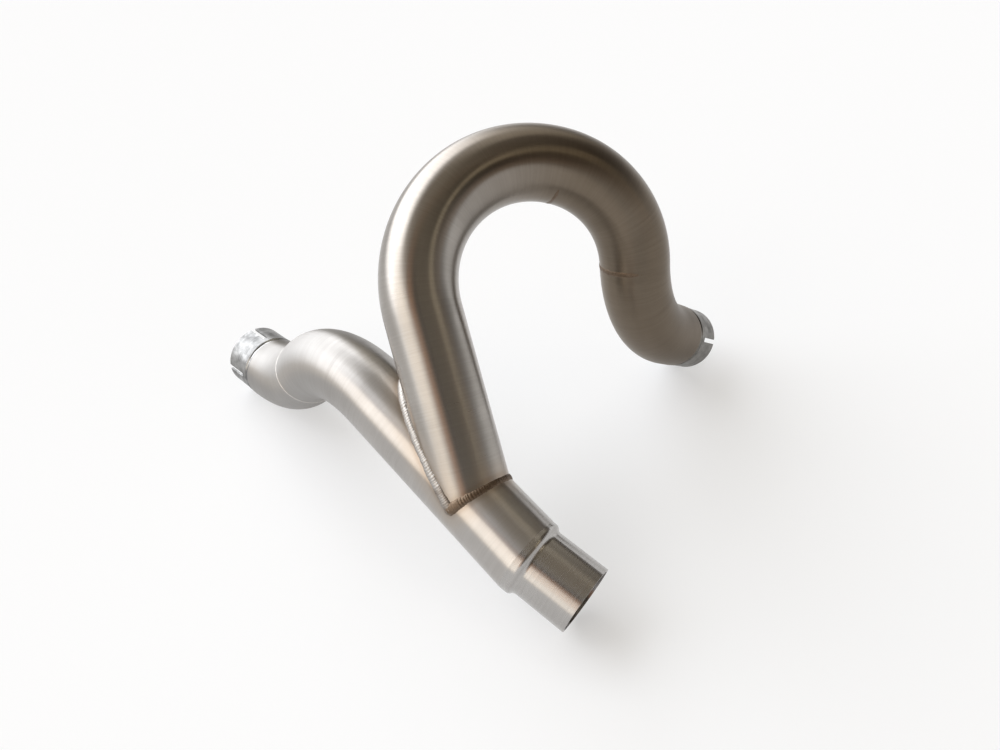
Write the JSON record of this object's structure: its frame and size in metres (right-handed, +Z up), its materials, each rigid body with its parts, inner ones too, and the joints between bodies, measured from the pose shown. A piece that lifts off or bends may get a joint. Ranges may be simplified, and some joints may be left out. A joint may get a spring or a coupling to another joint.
{
  "type": "motorcycle decat pipe",
  "caption": "Welded stainless exhaust link pipe: a looped header run joins a cranked branch run in a collector with slotted slip sockets and a stepped outlet spigot.",
  "frame": {"origin": "centre of the bounding box on the floor plane that the pipe rests on", "axes": "+Z up, +X from the branch socket across to the loop socket, +Y away from the outlet spigot"},
  "size_m": [0.357, 0.2632, 0.2014],
  "materials": {
    "satin_steel": "satin",
    "bright_steel": "polished",
    "weld_steel": "as welded"
  },
  "bodies": {
    "root": {"collector_tube": "satin_steel", "branch_elbow": "satin_steel", "loop_arm": "satin_steel", "loop_crown": "satin_steel", "loop_elbow": "satin_steel", "outlet_spigot": "satin_steel", "branch_socket": "bright_steel", "loop_socket": "bright_steel", "weld_branch_socket": "bright_steel", "weld_loop_socket": "bright_steel", "weld_joint": "weld_steel", "weld_outlet": "weld_steel", "weld_branch": "weld_steel", "weld_loop_top": "weld_steel", "weld_loop_side": "weld_steel"}
  },
  "joints": []
}
